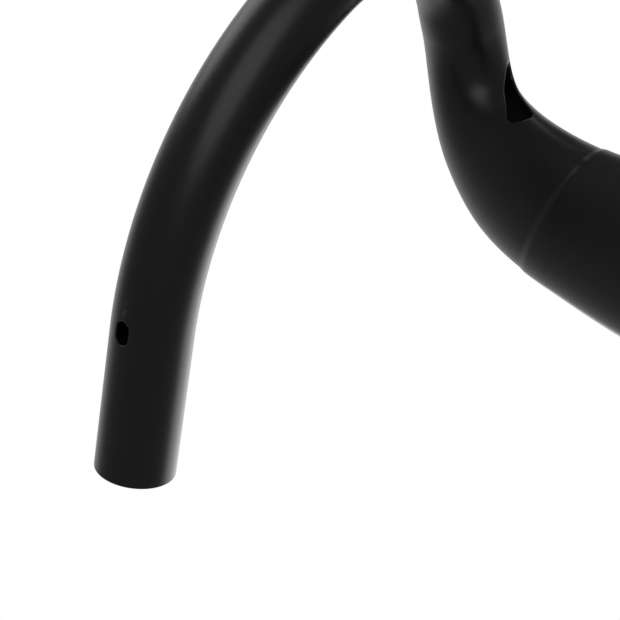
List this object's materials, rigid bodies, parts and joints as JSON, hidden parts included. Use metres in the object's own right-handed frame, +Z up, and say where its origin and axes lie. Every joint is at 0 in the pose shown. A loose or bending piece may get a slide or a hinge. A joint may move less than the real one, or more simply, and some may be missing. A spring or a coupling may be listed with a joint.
{
  "type": "drop handlebar",
  "caption": "One-piece hollow drop handlebar: round stem clamp zone, flat swept wing tops, curved hooks, slanted cable inlets and open drop ends.",
  "frame": {"origin": "middle of the stem clamp zone, on its axis", "axes": "+X the rider's right along the clamp axis, +Y the riding direction, +Z up"},
  "size_m": [0.4494, 0.1574, 0.1505],
  "materials": {
    "carbon_shell": "satin black carbon composite"
  },
  "bodies": {
    "root": {"handlebar": "carbon_shell"}
  },
  "joints": []
}
